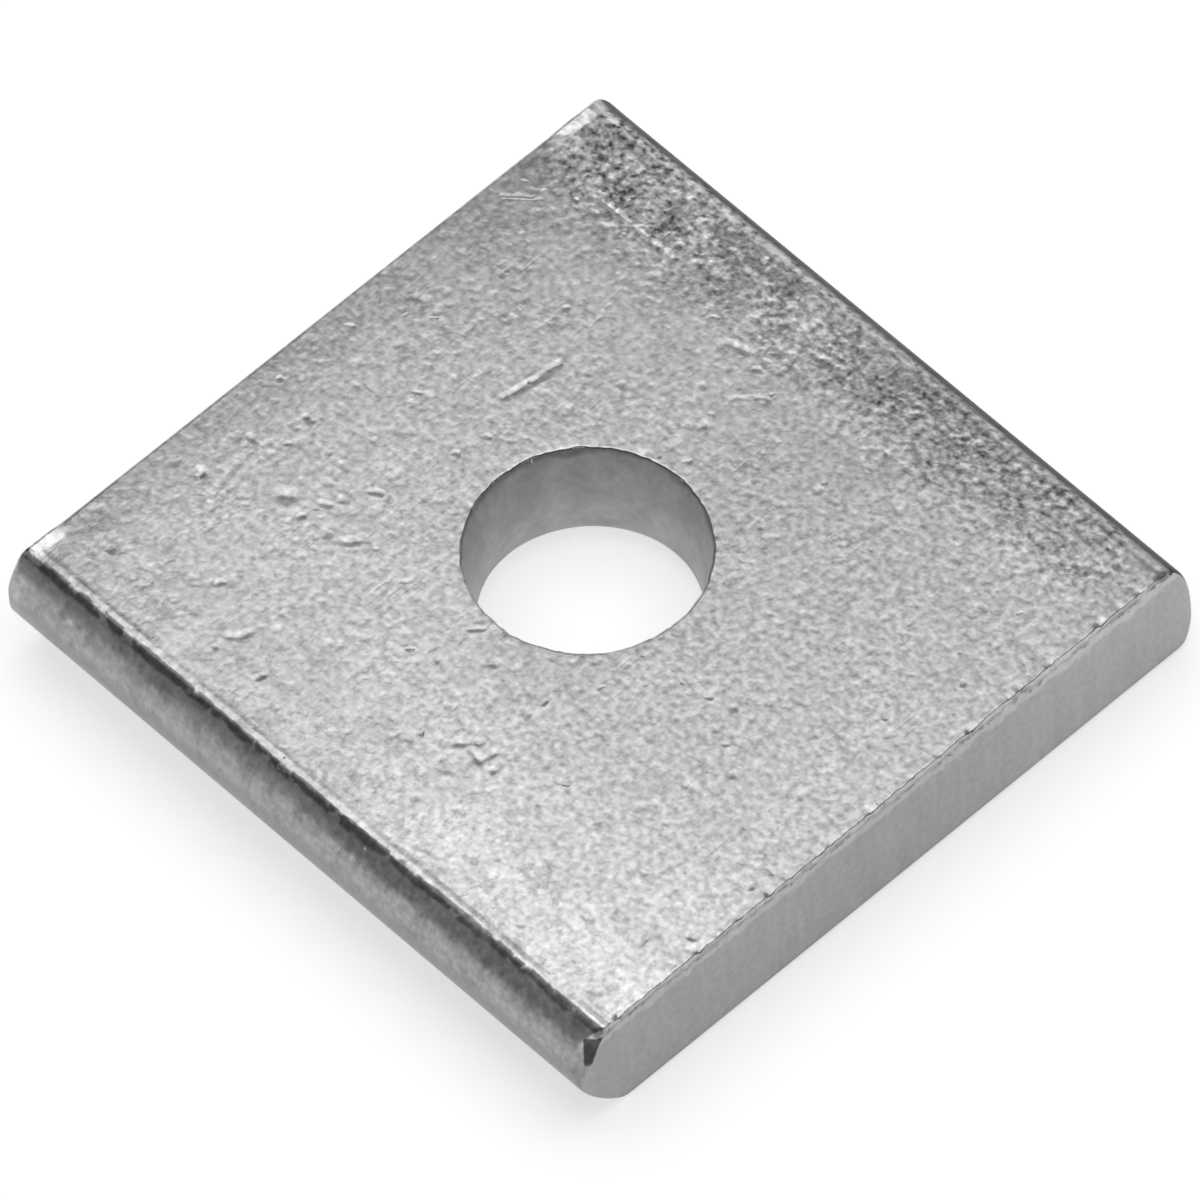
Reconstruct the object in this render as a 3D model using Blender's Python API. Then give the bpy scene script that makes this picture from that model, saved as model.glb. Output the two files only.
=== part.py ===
"""A square plate washer: a blank cropped from rolled flat bar, with a hole punched near its middle.

X runs along the bar, Y across it and Z up from the washer's underside. The origin lies under the
middle of the blank. All sizes are in metres.
"""

import math

import bmesh
import bpy
from mathutils import Matrix

# The bar, as the mill rolls it
BAR_WIDTH = 0.0381
BAR_THICKNESS = 0.0065

# The mill rolls the bar's two edges round, and no two rollings are alike. Reach is how far in from
# the side a corner starts, and drop or rise is how far it runs down from the top or up from below.
NEAR_TOP_REACH = 0.00140
NEAR_TOP_DROP = 0.00200
NEAR_BOTTOM_REACH = 0.00295
NEAR_BOTTOM_RISE = 0.00346
NEAR_FULLNESS = 1.38  # 2 is a true ellipse, and 1 is a flat chamfer
FAR_TOP_REACH = 0.00196
FAR_TOP_DROP = 0.00376
FAR_BOTTOM_REACH = 0.00108
FAR_BOTTOM_RISE = 0.00209
FAR_FULLNESS = 2.0

# The cropping shear cuts the blank to length. It draws one edge of each cut face round, then
# tears the steel along a face that leans a little.
BLANK_LENGTH = 0.03735
SHEAR_ROLL_REACH = 0.00032
SHEAR_ROLL_HEIGHT = 0.00048
SHEAR_LEAN = 0.00020

# The punch goes in through the underside: it draws the rim in, burnishes a straight land, and the
# slug then breaks out upwards along a wider cone.
HOLE_SHIFT = -0.00073  # along the bar, from the middle of the blank
LAND_RADIUS = 0.00516
LAND_HEIGHT = 0.0017
RIM_ROLL_REACH = 0.00105
RIM_ROLL_HEIGHT = 0.0013
RIM_FULLNESS = 1.3
BREAKOUT_FLARE = 0.00053  # how much wider the hole is at the top face than at the land

# How finely the round stretches are divided
EDGE_STEPS = 12
ROLL_STEPS = 6
HOLE_STEPS = 96

ZINC_COLOUR = (0.62, 0.62, 0.61, 1.0)
ZINC_ROUGHNESS = 0.36


def quarter_round(reach, height, fullness, steps):
    """Points from (reach, 0) on the flat to (0, height) on the side, as (inset, height) pairs."""
    points = []
    for step in range(steps + 1):
        turn = math.radians(90) * step / steps
        inset = reach * (1 - math.sin(turn) ** (2 / fullness))
        rise = height * (1 - math.cos(turn) ** (2 / fullness))
        points.append((inset, rise))
    return points


def rolled_edge(top_reach, top_drop, bottom_reach, bottom_rise, fullness):
    """One long edge of the bar, from the underside up to the top, as (inset, height) pairs."""
    # Two corners that would meet on a thin bar share its thickness between them.
    share = min(1, 0.98 * BAR_THICKNESS / (top_drop + bottom_rise))
    bottom = quarter_round(bottom_reach, bottom_rise * share, fullness, EDGE_STEPS)
    top = quarter_round(top_reach, top_drop * share, fullness, EDGE_STEPS)
    return bottom + [(inset, BAR_THICKNESS - drop) for inset, drop in reversed(top)]


def bar_section():
    """The bar's section across its length, as (y, z) points all the way round."""
    far = rolled_edge(FAR_TOP_REACH, FAR_TOP_DROP, FAR_BOTTOM_REACH, FAR_BOTTOM_RISE, FAR_FULLNESS)
    near = rolled_edge(NEAR_TOP_REACH, NEAR_TOP_DROP, NEAR_BOTTOM_REACH, NEAR_BOTTOM_RISE, NEAR_FULLNESS)
    side = BAR_WIDTH / 2
    return [(side - inset, z) for inset, z in far] + [(inset - side, z) for inset, z in reversed(near)]


def cropped_face():
    """A cut face from its drawn edge to its torn edge, as (inset, height) pairs.

    It runs a whole thickness past the bar at both ends. The drawn edge starts outside the bar
    too, so that it meets the flat at a shallow angle, as a real one does.
    """
    below = SHEAR_ROLL_HEIGHT * 0.1
    drawn = quarter_round(SHEAR_ROLL_REACH, SHEAR_ROLL_HEIGHT + below, 2, ROLL_STEPS)
    face = [(SHEAR_ROLL_REACH, -BAR_THICKNESS)]
    face += [(inset, rise - below) for inset, rise in drawn]
    slope = SHEAR_LEAN / (BAR_THICKNESS - SHEAR_ROLL_HEIGHT)
    face.append((SHEAR_LEAN + slope * BAR_THICKNESS, 2 * BAR_THICKNESS))
    return face


def blank_outline():
    """The blank seen from its long side, as (x, z) points all the way round.

    One stroke of the shear ends one blank and starts the next, so the two cut faces match under a
    half turn: the front one is drawn round at the bottom and the back one at the top.
    """
    end = BLANK_LENGTH / 2
    front = [(end - inset, z) for inset, z in cropped_face()]
    back = [(inset - end, BAR_THICKNESS - z) for inset, z in cropped_face()]
    return front + back


def hole_profile():
    """The punched hole from below the underside to above the top, as (radius, height) pairs."""
    below = RIM_ROLL_HEIGHT * 0.1
    drawn = quarter_round(RIM_ROLL_REACH, RIM_ROLL_HEIGHT + below, RIM_FULLNESS, ROLL_STEPS)
    profile = [(LAND_RADIUS + RIM_ROLL_REACH, -BAR_THICKNESS)]
    profile += [(LAND_RADIUS + inset, rise - below) for inset, rise in drawn]
    land_top = min(RIM_ROLL_HEIGHT + LAND_HEIGHT, 0.9 * BAR_THICKNESS)
    profile.append((LAND_RADIUS, land_top))
    flare_slope = BREAKOUT_FLARE / (BAR_THICKNESS - land_top)
    profile.append((LAND_RADIUS + BREAKOUT_FLARE + flare_slope * BAR_THICKNESS, 2 * BAR_THICKNESS))
    return profile


def link(name, shape):
    """A new object in the scene that holds this shape."""
    bmesh.ops.recalc_face_normals(shape, faces=shape.faces)
    mesh = bpy.data.meshes.new(name)
    shape.to_mesh(mesh)
    shape.free()
    obj = bpy.data.objects.new(name, mesh)
    bpy.context.scene.collection.objects.link(obj)
    return obj


def extruded(name, outline, run):
    """A prism: the outline's points, as one face, carried along the vector run."""
    shape = bmesh.new()
    face = shape.faces.new([shape.verts.new(point) for point in outline])
    carried = bmesh.ops.extrude_face_region(shape, geom=[face])["geom"]
    moved = [item for item in carried if isinstance(item, bmesh.types.BMVert)]
    bmesh.ops.translate(shape, verts=moved, vec=run)
    return link(name, shape)


def turned(name, profile, centre_x):
    """A closed solid turned about an upright axis, ring on ring up the profile."""
    shape = bmesh.new()
    for radius, height in profile:
        place = Matrix.Translation((centre_x, 0, height))
        bmesh.ops.create_circle(shape, segments=HOLE_STEPS, radius=radius, matrix=place)
    bmesh.ops.bridge_loops(shape, edges=shape.edges[:])
    bmesh.ops.holes_fill(shape, edges=shape.edges[:])
    return link(name, shape)


def cutter(obj):
    """Marks a shape that only cuts, so that it isn't part of the washer."""
    obj.hide_render = True
    obj.display_type = "WIRE"
    return obj


def cut(obj, name, operation, tool):
    modifier = obj.modifiers.new(name, "BOOLEAN")
    modifier.operation = operation
    modifier.solver = "EXACT"
    modifier.object = tool


def zinc_plate():
    """Bright zinc plating over steel."""
    material = bpy.data.materials.new("bright_zinc_plate")
    material.use_nodes = True
    finish = material.node_tree.nodes["Principled BSDF"]
    finish.inputs["Base Color"].default_value = ZINC_COLOUR
    finish.inputs["Metallic"].default_value = 1.0
    finish.inputs["Roughness"].default_value = ZINC_ROUGHNESS
    return material


def rolled_bar():
    """A length of bar that runs a thickness past the blank at each end."""
    start = -BLANK_LENGTH / 2 - BAR_THICKNESS
    outline = [(start, y, z) for y, z in bar_section()]
    return extruded("square_plate_washer", outline, (-2 * start, 0, 0))


def shear_form():
    """The space between the two strokes of the shear, wider than the bar."""
    start = -BAR_WIDTH / 2 - BAR_THICKNESS
    outline = [(x, start, z) for x, z in blank_outline()]
    return cutter(extruded("shear_form", outline, (0, -2 * start, 0)))


def punch_form():
    """What the punch takes out of the blank."""
    return cutter(turned("punch_form", hole_profile(), HOLE_SHIFT))


for old in list(bpy.data.objects):
    bpy.data.objects.remove(old, do_unlink=True)

washer = rolled_bar()
cut(washer, "crop to length", "INTERSECT", shear_form())
cut(washer, "punch the hole", "DIFFERENCE", punch_form())
washer.data.materials.append(zinc_plate())
washer.data.shade_smooth()
washer.data.set_sharp_from_angle(angle=math.radians(25))
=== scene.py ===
# %% [markdown]
# # A square plate washer in bright zinc
#
# This washer is one piece of steel: a blank cropped from rolled flat bar, with a hole punched
# through it and a thin coat of zinc over everything. Nothing on it is painted or fitted, so its
# whole look comes from four things: the round edges that the mill rolled, the torn faces that the
# shear left, the punched hole, and a fine skin that has been knocked about in a bin with others.
#
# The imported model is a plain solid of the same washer. It could simply be given a material, but
# its flat faces have no points to press a dent into. So it is hidden here, and a fine mesh of the
# same size takes its place. All lengths are in metres, so a millimetre gets a name of its own.

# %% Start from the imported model
import math

import bmesh
import bpy
import numpy as np
from mathutils import Matrix, Vector, noise


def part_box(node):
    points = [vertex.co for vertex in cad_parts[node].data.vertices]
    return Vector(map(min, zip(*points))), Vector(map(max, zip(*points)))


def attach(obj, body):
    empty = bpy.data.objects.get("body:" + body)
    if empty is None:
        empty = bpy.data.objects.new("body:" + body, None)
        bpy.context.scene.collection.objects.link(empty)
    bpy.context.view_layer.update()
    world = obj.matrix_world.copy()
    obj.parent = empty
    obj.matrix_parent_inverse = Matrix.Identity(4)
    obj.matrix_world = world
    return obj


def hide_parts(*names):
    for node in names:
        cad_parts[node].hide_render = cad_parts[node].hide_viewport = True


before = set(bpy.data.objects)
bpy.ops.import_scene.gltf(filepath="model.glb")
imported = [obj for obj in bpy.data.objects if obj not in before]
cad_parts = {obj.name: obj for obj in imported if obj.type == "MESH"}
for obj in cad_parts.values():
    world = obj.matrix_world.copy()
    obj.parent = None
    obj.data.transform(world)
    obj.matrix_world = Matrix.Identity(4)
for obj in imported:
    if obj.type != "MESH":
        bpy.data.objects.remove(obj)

bpy.ops.object.select_all(action="DESELECT")

MM = 0.001
scene = bpy.context.scene
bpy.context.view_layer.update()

# %% [markdown]
# ## The camera
#
# A photograph of a small part is taken from far away with a long lens, so that near and far edges
# keep almost the same size. The camera could be placed by eye, but four numbers say it better: how
# far it is turned round the part, how high it looks down from, how much it is tipped sideways, and
# how far away it stands. The matrix below is built from the camera's own three directions: right,
# up and back.

# %% Camera
CAMERA_TURN = math.radians(48.44)
CAMERA_HEIGHT = math.radians(54.71)
CAMERA_TIP = math.radians(-2.78)
CAMERA_DISTANCE = 1.3247
CAMERA_LENS = 882.5
CAMERA_TARGET = Vector((-1.79 * MM, 1.55 * MM, 0))


def camera_matrix(turn, height, tip, distance, target):
    """Looks at the target from a turn round Z and a height above the floor, then tips the picture."""
    back = Vector((
        math.sin(turn) * math.cos(height), -math.cos(turn) * math.cos(height), math.sin(height),
    ))
    level = Vector((math.cos(turn), math.sin(turn), 0))
    upright = back.cross(level)
    right = level * math.cos(tip) + upright * math.sin(tip)
    up = upright * math.cos(tip) - level * math.sin(tip)
    turned = Matrix((right, up, back)).transposed().to_4x4()
    return Matrix.Translation(target + back * distance) @ turned


camera_data = bpy.data.cameras.new("camera")
camera_data.lens = CAMERA_LENS
camera_data.sensor_width = 36
camera_data.clip_start = 0.01
camera_data.clip_end = 20
camera = bpy.data.objects.new("camera", camera_data)
scene.collection.objects.link(camera)
camera.matrix_world = camera_matrix(
    CAMERA_TURN, CAMERA_HEIGHT, CAMERA_TIP, CAMERA_DISTANCE, CAMERA_TARGET,
)
scene.camera = camera
print("the camera stands at", tuple(round(value, 4) for value in camera.location))

# %% [markdown]
# ## Small helpers for materials
#
# A material here is a chain of many small steps. Placed by hand, each step is a node and a wire.
# In a script the same chain reads better when each kind of step is one short function that adds
# the node, feeds it and hands back what comes out. An input may be a number or another output.

# %% Add a node, and feed it
def feed(tree, value, socket):
    if isinstance(value, bpy.types.NodeSocket):
        tree.links.new(value, socket)
    else:
        socket.default_value = value


def add_node(tree, kind, inputs, **settings):
    made = tree.nodes.new(kind)
    for name, value in settings.items():
        setattr(made, name, value)
    for name, value in inputs.items():
        feed(tree, value, made.inputs[name])
    return made


def calculate(tree, operation, first, second=0.0, clamp=False):
    made = tree.nodes.new("ShaderNodeMath")
    made.operation = operation
    made.use_clamp = clamp
    feed(tree, first, made.inputs[0])
    feed(tree, second, made.inputs[1])
    return made.outputs[0]


def total(tree, *values):
    result = values[0]
    for value in values[1:]:
        result = calculate(tree, "ADD", result, value)
    return result


def product(tree, *values):
    result = values[0]
    for value in values[1:]:
        result = calculate(tree, "MULTIPLY", result, value)
    return result


def blend(tree, value, start, end, at_start=0.0, at_end=1.0):
    """Goes smoothly from one value to another while the input goes from start to end."""
    made = add_node(tree, "ShaderNodeMapRange", {
        "Value": value, "From Min": start, "From Max": end, "To Min": at_start, "To Max": at_end,
    }, interpolation_type="SMOOTHSTEP")
    return made.outputs["Result"]


def toned(tree, mask, tone):
    """1 where the mask is 0, and the tone where the mask is 1."""
    return blend(tree, mask, 0.0, 1.0, 1.0, tone)


def tones(tree, *pairs):
    """The product of many tones, each given as a mask and its tone."""
    return product(tree, *(toned(tree, mask, tone) for mask, tone in pairs))


def grain(tree, place, per_mm, detail=2.0, harshness=0.5):
    """Noise between 0 and 1 with so many grains in a millimetre."""
    made = add_node(tree, "ShaderNodeTexNoise", {
        "Vector": place, "Scale": per_mm, "Detail": detail, "Roughness": harshness,
    })
    return made.outputs["Fac"]


def stretched(tree, place, stretch):
    """The same place, squeezed along some axes, so that a pattern read there is drawn out."""
    return add_node(tree, "ShaderNodeMapping", {"Vector": place, "Scale": stretch}).outputs["Vector"]


def in_millimetres(tree):
    """The piece's own coordinates in millimetres: the whole place, then x, y and z."""
    own = tree.nodes.new("ShaderNodeTexCoord").outputs["Object"]
    place = stretched(tree, own, (1 / MM, 1 / MM, 1 / MM))
    axes = add_node(tree, "ShaderNodeSeparateXYZ", {"Vector": place})
    return place, axes.outputs["X"], axes.outputs["Y"], axes.outputs["Z"]


# %% [markdown]
# ## Light and floor
#
# Metal shows what stands round it, so the light decides more than the material. A sheet of plain
# white all round would hide every dent. Here one round softbox hangs overhead, and its far rim is
# just where the top face mirrors it, so one side of the face is bright and the other is in the
# dim of the room. A low panel behind the washer lights the far rolled edge, and a low card on the
# left lights the edge that the shear drew round.
#
# The floor is a plain pale sheet. It shines a little by itself for the camera and for mirror
# rays, which makes it white without more light on the washer, and the shadow stays on it.

# %% Softbox, panel, card, room and floor
MIDDLE = Vector((0, 0, 0))
# Each lamp's place, shape, two sizes and power
LAMPS = {
    "softbox": ((0, 0, 0.150), "DISK", (0.220, 0.220), 0.14),
    "panel": ((-0.10, 0.16, 0.075), "RECTANGLE", (0.20, 0.09), 0.037),
    "low card": ((-0.18, 0.08, 0.040), "RECTANGLE", (0.10, 0.07), 0.016),
}
ROOM_GREY = 0.20
FLOOR_GREY = 0.80
FLOOR_GLOW = 0.55
FLOOR_SIZE = 3.0
FLOOR_DROP = 0.02 * MM

for name, (lamp_place, shape, sides, power) in LAMPS.items():
    lamp = bpy.data.lights.new(name, "AREA")
    lamp.shape = shape
    lamp.size, lamp.size_y = sides
    lamp.energy = power
    light = bpy.data.objects.new(name, lamp)
    light.location = lamp_place
    light.rotation_mode = "QUATERNION"
    light.rotation_quaternion = (MIDDLE - Vector(lamp_place)).to_track_quat("-Z", "Y")
    light.visible_camera = False
    scene.collection.objects.link(light)

world = bpy.data.worlds.new("room")
scene.world = world
world.use_nodes = True
world.node_tree.nodes["Background"].inputs["Color"].default_value = (ROOM_GREY, ROOM_GREY, ROOM_GREY, 1)

bpy.ops.mesh.primitive_plane_add(size=FLOOR_SIZE, location=(0, 0, -FLOOR_DROP))
floor = bpy.context.object
floor.name = "floor"
floor_paint = bpy.data.materials.new("pale_floor")
floor_paint.use_nodes = True
tree = floor_paint.node_tree
tree.nodes.remove(tree.nodes["Principled BSDF"])
rays = tree.nodes.new("ShaderNodeLightPath").outputs
seen = calculate(tree, "MAXIMUM", rays["Is Camera Ray"], rays["Is Glossy Ray"])
seen = calculate(tree, "MAXIMUM", seen, rays["Is Transmission Ray"])
dull = add_node(tree, "ShaderNodeBsdfDiffuse", {"Color": (FLOOR_GREY, FLOOR_GREY, FLOOR_GREY, 1)})
glow = add_node(tree, "ShaderNodeEmission", {"Strength": product(tree, seen, FLOOR_GLOW)})
both = tree.nodes.new("ShaderNodeAddShader")
feed(tree, dull.outputs[0], both.inputs[0])
feed(tree, glow.outputs[0], both.inputs[1])
feed(tree, both.outputs[0], tree.nodes["Material Output"].inputs["Surface"])
floor.data.materials.append(floor_paint)
scene.view_settings.view_transform = "Standard"
print(len(LAMPS), "lamps and a floor", FLOOR_SIZE, "m wide")

# %% [markdown]
# ## The washer's section
#
# The bar's two long edges were rolled round, and each is round in its own way. Each corner is a
# superellipse: a quarter of a squashed circle whose fullness says how far it fills its corner. The
# two cut faces come from a shear. It draws one edge of the face round, then tears the rest.
#
# The mesh is built ring by ring, so these functions say how far each side stands in at a height.

# %% How far each side stands in at a height
node_low, node_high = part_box("square_plate_washer")
THICKNESS = node_high.z - node_low.z
HALF_LENGTH = (node_high.x - node_low.x) / 2
HALF_WIDTH = (node_high.y - node_low.y) / 2

NEAR_TOP = (1.40 * MM, 2.00 * MM)
NEAR_BOTTOM = (2.95 * MM, 3.46 * MM)
NEAR_FULLNESS = 1.38
FAR_TOP = (1.96 * MM, 3.76 * MM)
FAR_BOTTOM = (1.08 * MM, 2.09 * MM)
FAR_FULLNESS = 2.0
SHEAR_ROLL = (0.32 * MM, 0.48 * MM)
SHEAR_LEAN = 0.20 * MM
ROLL_OUTSIDE = 0.1  # how much of a drawn edge's height lies outside the bar


def corner_inset(depth, reach, height, fullness):
    """How far a round corner stands in at a depth below its flat."""
    if depth >= height:
        return 0.0
    power = 2 / fullness
    cosine = (1 - max(depth, 0) / height) ** (1 / power)
    return reach * (1 - math.sqrt(max(0, 1 - cosine * cosine)) ** power)


def rolled_inset(z, top, bottom, fullness):
    return max(corner_inset(THICKNESS - z, *top, fullness), corner_inset(z, *bottom, fullness))


def sheared_inset(height):
    """A cut face at a height above its drawn edge."""
    reach, roll = SHEAR_ROLL
    if height < roll:
        return corner_inset(height + ROLL_OUTSIDE * roll, reach, (1 + ROLL_OUTSIDE) * roll, 2)
    return SHEAR_LEAN * (height - roll) / (THICKNESS - roll)


def outline(z):
    """The washer's level outline at a height: left, right, near and far."""
    left = sheared_inset(THICKNESS - z) - HALF_LENGTH
    right = HALF_LENGTH - sheared_inset(z)
    near = rolled_inset(z, NEAR_TOP, NEAR_BOTTOM, NEAR_FULLNESS) - HALF_WIDTH
    far = HALF_WIDTH - rolled_inset(z, FAR_TOP, FAR_BOTTOM, FAR_FULLNESS)
    return left, right, near, far


for z in (0, 1, 3, 5, 6.5):
    print("at", z, "mm:", [round(side / MM, 2) for side in outline(z * MM)])

# %% [markdown]
# ## Rings down the side
#
# A cube cut in two by a hole gets long thin faces that can't be dented. A mesh of closed rings has
# small four-sided faces everywhere: rings run down the sides, in across the top to the hole, down
# the hole's wall and back out underneath. It starts as a plane. Its corners are bevelled, its face
# is deleted, and its four sides are divided, which leaves one ring of points. That ring is extruded
# down the side, and each time it is resized and moved to the outline at the new height.

# %% The first ring
CORNER_WEAR = {(-1, -1): 0.15 * MM, (-1, 1): 0.12 * MM, (1, -1): 0.28 * MM, (1, 1): 0.34 * MM}
CORNER_STEPS = 4
SIDE_CUTS = 87
CLOSE = 0.001 * MM  # points nearer than this count as being at one place
RING_POINTS = 4 * (2 * (SIDE_CUTS + 1) + CORNER_STEPS)


def ring_size(edges_of_outline):
    left, right, near, far = edges_of_outline
    return Vector((right - left, far - near, 0)), Vector(((left + right) / 2, (near + far) / 2, 0))


def move_ring(start, start_z, end, end_z):
    """Resizes and moves the selected ring from one outline to another."""
    start_size, start_middle = ring_size(start)
    end_size, end_middle = ring_size(end)
    scale = (end_size.x / start_size.x, end_size.y / start_size.y, 1)
    bpy.ops.transform.resize(value=scale, center_override=(start_middle.x, start_middle.y, start_z))
    step = end_middle - start_middle
    bpy.ops.transform.translate(value=(step.x, step.y, end_z - start_z))


def select(kind, test):
    """Selects the points that pass the test, or the edges whose two ends pass it together."""
    shape = bmesh.from_edit_mesh(bpy.context.object.data)
    bpy.ops.mesh.select_mode(type=kind)
    bpy.ops.mesh.select_all(action="DESELECT")
    for item in shape.edges if kind == "EDGE" else shape.verts:
        ends = item.verts if kind == "EDGE" else [item]
        item.select_set(test(*(end.co for end in ends)))
    shape.select_flush_mode()
    bmesh.update_edit_mesh(bpy.context.object.data)


bpy.ops.object.select_all(action="DESELECT")
bpy.ops.mesh.primitive_plane_add(size=1, location=(0, 0, 0))
washer = bpy.context.object
washer.name = "square_plate_washer_zinc"
bpy.ops.object.mode_set(mode="EDIT")
bpy.ops.mesh.select_all(action="SELECT")
plane_sides = (-0.5, 0.5, -0.5, 0.5)
move_ring(plane_sides, 0, outline(THICKNESS), THICKNESS)
for (side_x, side_y), wear in CORNER_WEAR.items():
    select("VERT", lambda point: point.x * side_x > 0 and point.y * side_y > 0)
    bpy.ops.mesh.bevel(offset=wear, offset_type="OFFSET", segments=CORNER_STEPS, affect="VERTICES")
bpy.ops.mesh.select_all(action="SELECT")
bpy.ops.mesh.delete(type="ONLY_FACE")
select("EDGE", lambda start, end: (end - start).length > HALF_LENGTH)
bpy.ops.mesh.subdivide(number_cuts=SIDE_CUTS)
bpy.ops.mesh.subdivide(number_cuts=1)
ring = bmesh.from_edit_mesh(washer.data)
print("the first ring has", len(ring.verts), "points, planned", RING_POINTS)

# %% Extrude the ring down the side
SIDE_STEPS = 28

turns = [math.pi * step / SIDE_STEPS for step in range(SIDE_STEPS + 1)]
heights = [THICKNESS * (1 + math.cos(turn)) / 2 for turn in turns]
bpy.ops.mesh.select_all(action="SELECT")
for above, below in zip(heights, heights[1:]):
    bpy.ops.mesh.extrude_edges_move()
    move_ring(outline(above), above, outline(below), below)
print("the side has", len(heights) - 1, "rows of faces")

# %% [markdown]
# ## Rings in across the top, and down the hole
#
# The top's outer strip gets rings a tenth of a millimetre apart, because the lip and the groove
# along its edges are that fine. The hole starts as a circle with as many points as the ring, and
# its own first rings run outwards from the rim. A bridge then joins strip and rim with even rows.

# %% The strip inside the top's edge
STRIP_STEPS = 12
STRIP_STEP = 0.10 * MM


def both_ends(test):
    return lambda start, end: test(start) and test(end)


def inside(edges_of_outline, inset):
    left, right, near, far = edges_of_outline
    return left + inset, right - inset, near + inset, far - inset


select("EDGE", both_ends(lambda point: abs(point.z - THICKNESS) < CLOSE))
top = outline(THICKNESS)
for step in range(STRIP_STEPS):
    bpy.ops.mesh.extrude_edges_move()
    start = inside(top, step * STRIP_STEP)
    move_ring(start, THICKNESS, inside(start, STRIP_STEP), THICKNESS)
bpy.ops.object.vertex_group_assign_new()
print("the strip is", STRIP_STEPS, "rings wide, and its inner ring is kept as a group of points")

# %% The hole's rim and wall
HOLE_X = -0.73 * MM
LAND_RADIUS = 5.16 * MM
LAND_TOP = 3.0 * MM
RIM_ROLL = (1.05 * MM, 1.3 * MM)
RIM_FULLNESS = 1.3
TOP_RADIUS = 5.69 * MM
RIM_STEPS = 3
RIM_STEP = 0.10 * MM
WALL_HEIGHTS = (6.5, 6.40, 6.1, 5.6, 5.0, 4.4, 3.7, 3.0, 2.2, 1.3, 0.95, 0.6, 0.3, 0)
TOP_CUTS = 74
BOTTOM_CUTS = 6
BRIDGE_LIFT = 5 * MM


def hole_radius(z):
    """A cone where the slug broke out, a straight land, and a rim drawn in by the punch."""
    reach, height = RIM_ROLL
    if z > LAND_TOP:
        return LAND_RADIUS + (TOP_RADIUS - LAND_RADIUS) * (z - LAND_TOP) / (THICKNESS - LAND_TOP)
    outside = ROLL_OUTSIDE * height
    return LAND_RADIUS + corner_inset(z + outside, reach, height + outside, RIM_FULLNESS)


def resize_circle(start_radius, end_radius, z):
    scale = end_radius / start_radius
    bpy.ops.transform.resize(value=(scale, scale, 1), center_override=(HOLE_X, 0, z))


def flatten(test, z):
    """Brings the points that pass the test to one height."""
    select("VERT", test)
    bpy.ops.transform.resize(value=(1, 1, 0), center_override=(0, 0, z))


raised = THICKNESS + BRIDGE_LIFT
bpy.ops.mesh.select_all(action="DESELECT")
bpy.ops.mesh.primitive_circle_add(vertices=RING_POINTS, radius=TOP_RADIUS, location=(HOLE_X, 0, raised))
for step in range(RIM_STEPS):
    bpy.ops.mesh.extrude_edges_move()
    resize_circle(TOP_RADIUS + step * RIM_STEP, TOP_RADIUS + (step + 1) * RIM_STEP, raised)
bpy.ops.object.vertex_group_assign()
bpy.ops.mesh.select_mode(type="VERT")
bpy.ops.mesh.select_all(action="DESELECT")
bpy.ops.object.vertex_group_select()
bpy.ops.object.vertex_group_remove(all=True)
bpy.ops.mesh.bridge_edge_loops(number_cuts=TOP_CUTS, interpolation="LINEAR")
flatten(lambda point: point.z > THICKNESS - CLOSE, THICKNESS)
print("the top is flat, and has", TOP_CUTS + 1, "rows from the strip to the rim")

# %% The wall and the underside
select("EDGE", both_ends(lambda point: (
    abs(point.z - THICKNESS) < CLOSE
    and abs(math.hypot(point.x - HOLE_X, point.y) - TOP_RADIUS) < 10 * CLOSE
)))
for above, below in zip(WALL_HEIGHTS, WALL_HEIGHTS[1:]):
    above *= MM
    below *= MM
    bpy.ops.mesh.extrude_edges_move()
    resize_circle(hole_radius(above), hole_radius(below), above)
    bpy.ops.transform.translate(value=(0, 0, below - above))
bpy.ops.transform.translate(value=(0, 0, -BRIDGE_LIFT))
select("EDGE", both_ends(lambda point: abs(point.z) < CLOSE or abs(point.z + BRIDGE_LIFT) < CLOSE))
bpy.ops.mesh.bridge_edge_loops(number_cuts=BOTTOM_CUTS, interpolation="LINEAR")
flatten(lambda point: point.z < CLOSE, 0)
bpy.ops.mesh.select_all(action="SELECT")
bpy.ops.mesh.normals_make_consistent(inside=False)
bpy.ops.object.mode_set(mode="OBJECT")
print("the washer has", len(washer.data.polygons), "faces and", len(washer.data.vertices), "points")

# %% [markdown]
# ## What rolling, shearing and knocks did to it
#
# So far the mesh is an ideal washer. The real one sinks a little towards its rolled far edge and
# towards the edge that the shear drew down. It has a bead along its near edge, a torn lip along
# the other cut, a ragged rim where the punch broke out, and dents from other washers. All of
# these could be sculpted by hand. Here each is a rule that moves the mesh's points, so it can be
# read and changed. A move of the top fades out down the sides, so that no two rings ever cross.

# %% Read the mesh's points
def read_vectors(items, name):
    """One row of three numbers for each point or face."""
    flat = np.empty(3 * len(items))
    items.foreach_get(name, flat)
    return flat.reshape(-1, 3)


def waves(places, per_mm, seed):
    """Smooth noise from about -1 to 1 at each place, with so many waves in a millimetre."""
    shift = Vector((seed, 2 * seed, 3 * seed))
    return np.array([noise.noise(Vector(place) * (per_mm / MM) + shift) for place in places])


def fade(value, start, end):
    """0 at the start, 1 at the end, and smooth between them."""
    share = np.clip((value - start) / (end - start), 0, 1)
    return share * share * (3 - 2 * share)


points = read_vectors(washer.data.vertices, "co")
x, y, z = points.T.copy()
left, right, near, far = outline(THICKNESS)
hole_distance = np.hypot(x - HOLE_X, y)
on_top = z > THICKNESS - CLOSE
print("the flat top has", int(on_top.sum()), "points")

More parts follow.
